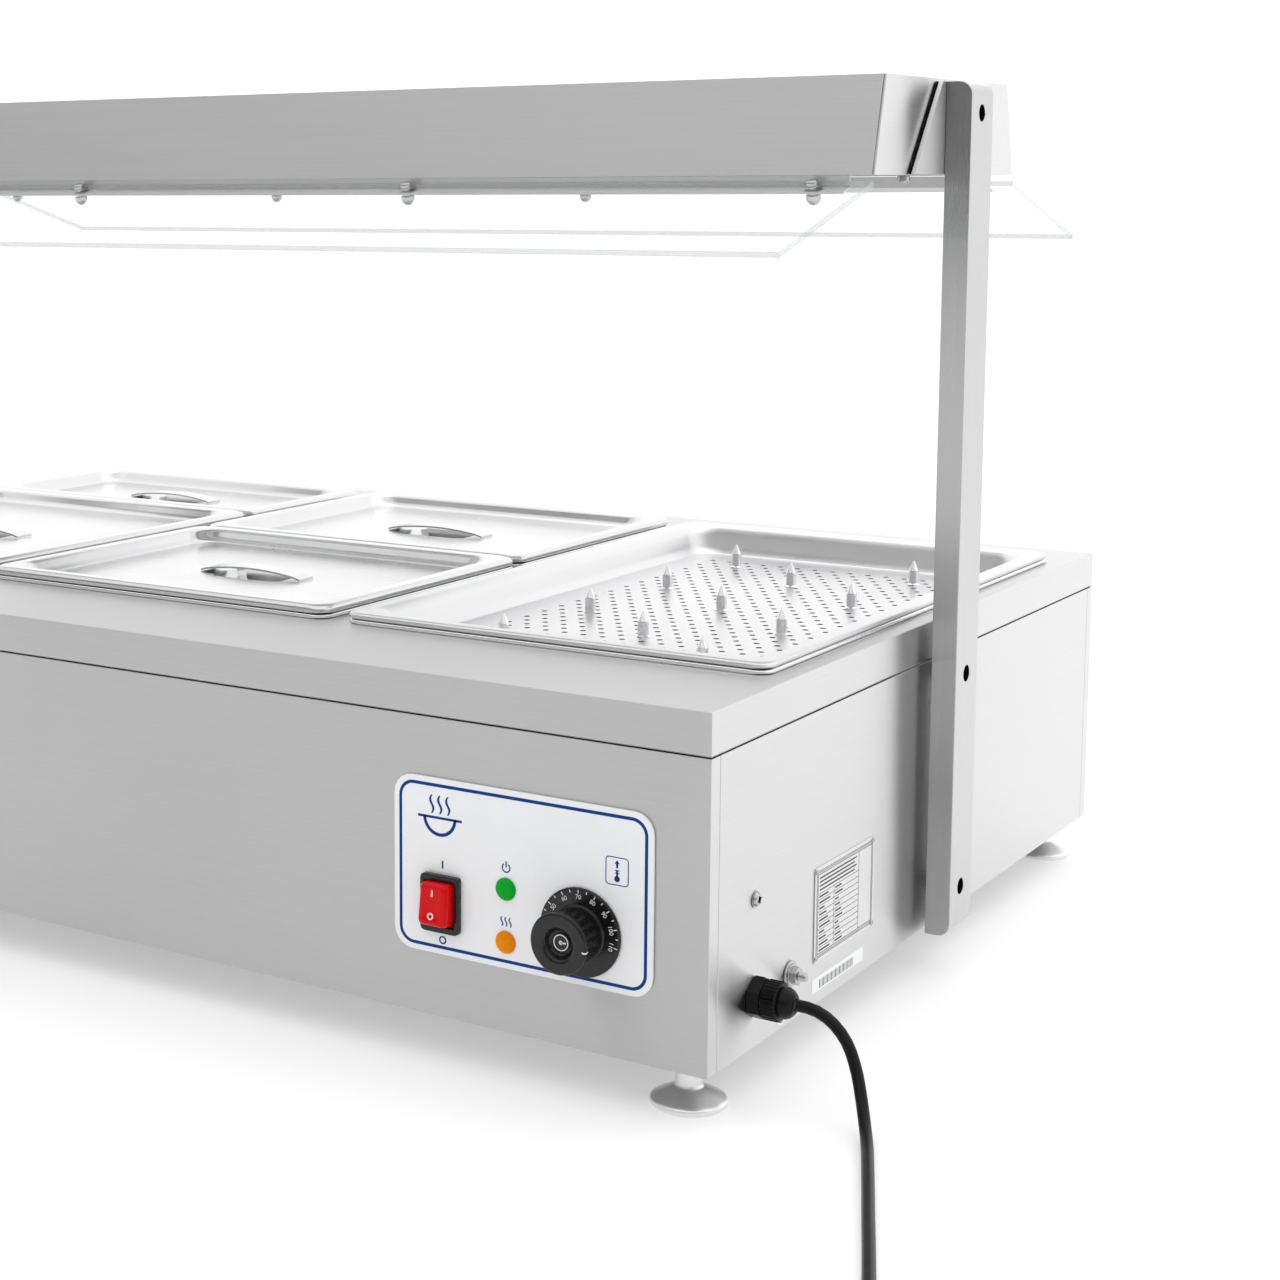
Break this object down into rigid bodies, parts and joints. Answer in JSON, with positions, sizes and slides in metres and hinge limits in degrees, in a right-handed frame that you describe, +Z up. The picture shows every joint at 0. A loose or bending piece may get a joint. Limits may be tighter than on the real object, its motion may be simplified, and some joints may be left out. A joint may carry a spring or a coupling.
{
  "type": "steam table unit",
  "caption": "Countertop stainless steam table with gastronorm pans and lids over a heated water well, a bridge with sloping clear guards, a control panel, levelling feet and a mains lead",
  "frame": {"origin": "middle of the outline, with the knob and without the mains lead, on the surface that the feet stand on", "axes": "+X to the right seen from the front, +Y to the back, +Z up; the controls face -Y"},
  "size_m": [1.2666, 1.0204, 0.626],
  "materials": {
    "steel_body": "fine horizontal brushed grain",
    "steel_inside": "plain mill finish, hidden inside",
    "steel_pan": "bright satin gastronorm steel",
    "chrome_foot": "polished turned metal",
    "panel_white": "smooth white label plate",
    "black_plastic": "fine satin moulded",
    "red_lens": "clear red moulded",
    "green_lens": "clear green moulded",
    "orange_lens": "clear orange moulded",
    "ceramic": "off-white glazed ceramic",
    "lamp_glass": "frosted lamp glass",
    "clear_guard": "clear and polished",
    "cord_rubber": "satin black flexible sheath"
  },
  "bodies": {
    "root": {"top_plate": "steel_body", "front_panel": "steel_body", "right_panel": "steel_body", "left_panel": "steel_body", "rear_panel": "steel_body", "base_plate": "steel_inside", "water_well": "steel_inside", "heating_tube_1": "steel_inside", "heating_tube_2": "steel_inside", "heating_tube_3": "steel_inside", "heat_shield": "steel_inside", "control_plate": "panel_white", "switch_housing": "black_plastic", "power_lamp": "green_lens", "heat_lamp": "orange_lens", "dial_ring": "black_plastic", "thermostat_body": "ceramic", "pan_bar_centre": "steel_pan", "pan_bar_left": "steel_pan", "post_right": "steel_body", "post_left": "steel_body", "hood_shell": "steel_body", "hood_end_right": "steel_body", "hood_end_left": "steel_body", "hood_bracket_right": "steel_body", "hood_bracket_left": "steel_body", "hood_reflector": "steel_pan", "heat_lamp_tube": "lamp_glass", "lamp_socket_right": "ceramic", "lamp_socket_left": "ceramic", "guard_glass_front": "clear_guard", "guard_glass_rear": "clear_guard", "guard_strip_front": "steel_body", "guard_strip_rear": "steel_body", "gland_nut": "black_plastic", "gland_cap": "black_plastic", "earth_stud": "chrome_foot", "mains_cord": "cord_rubber", "cord_coil": "cord_rubber", "mains_plug": "black_plastic"},
    "rocker": {"switch_rocker": "red_lens"},
    "knob": {"thermostat_knob": "black_plastic"},
    "foot_front_right": {"foot_front_right": "chrome_foot"},
    "foot_front_left": {"foot_front_left": "chrome_foot"},
    "foot_rear_right": {"foot_rear_right": "chrome_foot"},
    "foot_rear_left": {"foot_rear_left": "chrome_foot"},
    "meat_pan": {"meat_pan": "steel_pan"},
    "spiked_tray": {"spiked_tray": "steel_pan"},
    "pan_half_front": {"pan_half_front": "steel_pan"},
    "lid_half_front": {"lid_half_front": "steel_pan", "lid_half_front_handle": "steel_pan"},
    "pan_half_rear": {"pan_half_rear": "steel_pan"},
    "lid_half_rear": {"lid_half_rear": "steel_pan", "lid_half_rear_handle": "steel_pan"},
    "pan_two_thirds": {"pan_two_thirds": "steel_pan"},
    "lid_two_thirds": {"lid_two_thirds": "steel_pan", "lid_two_thirds_handle": "steel_pan"},
    "pan_one_third": {"pan_one_third": "steel_pan"},
    "lid_one_third": {"lid_one_third": "steel_pan", "lid_one_third_handle": "steel_pan"}
  },
  "joints": [
    {"name": "switch_tip", "type": "hinge", "parent": "root", "child": "rocker", "pos_m": [0.3326, -0.33535, 0.106], "axis": [1, 0, 0], "range_deg": [0, 16]},
    {"name": "thermostat_turn", "type": "hinge", "parent": "root", "child": "knob", "pos_m": [0.433, -0.33555, 0.1055], "axis": [0, 1, 0], "range_deg": [0, 280]},
    {"name": "foot_front_right_screw", "type": "slide", "parent": "root", "child": "foot_front_right", "axis": [0, 0, -1], "range_m": [0, 0.012]},
    {"name": "foot_front_left_screw", "type": "slide", "parent": "root", "child": "foot_front_left", "axis": [0, 0, -1], "range_m": [0, 0.012]},
    {"name": "foot_rear_right_screw", "type": "slide", "parent": "root", "child": "foot_rear_right", "axis": [0, 0, -1], "range_m": [0, 0.012]},
    {"name": "foot_rear_left_screw", "type": "slide", "parent": "root", "child": "foot_rear_left", "axis": [0, 0, -1], "range_m": [0, 0.012]},
    {"name": "meat_pan_lift", "type": "slide", "parent": "root", "child": "meat_pan", "axis": [0, 0, 1], "range_m": [0, 0.08]},
    {"name": "spiked_tray_lift", "type": "slide", "parent": "meat_pan", "child": "spiked_tray", "axis": [0, 0, 1], "range_m": [0, 0.08]},
    {"name": "pan_half_front_lift", "type": "slide", "parent": "root", "child": "pan_half_front", "axis": [0, 0, 1], "range_m": [0, 0.12]},
    {"name": "lid_half_front_lift", "type": "slide", "parent": "pan_half_front", "child": "lid_half_front", "axis": [0, 0, 1], "range_m": [0, 0.06]},
    {"name": "pan_half_rear_lift", "type": "slide", "parent": "root", "child": "pan_half_rear", "axis": [0, 0, 1], "range_m": [0, 0.12]},
    {"name": "lid_half_rear_lift", "type": "slide", "parent": "pan_half_rear", "child": "lid_half_rear", "axis": [0, 0, 1], "range_m": [0, 0.06]},
    {"name": "pan_two_thirds_lift", "type": "slide", "parent": "root", "child": "pan_two_thirds", "axis": [0, 0, 1], "range_m": [0, 0.12]},
    {"name": "lid_two_thirds_lift", "type": "slide", "parent": "pan_two_thirds", "child": "lid_two_thirds", "axis": [0, 0, 1], "range_m": [0, 0.06]},
    {"name": "pan_one_third_lift", "type": "slide", "parent": "root", "child": "pan_one_third", "axis": [0, 0, 1], "range_m": [0, 0.12]},
    {"name": "lid_one_third_lift", "type": "slide", "parent": "pan_one_third", "child": "lid_one_third", "axis": [0, 0, 1], "range_m": [0, 0.06]}
  ]
}
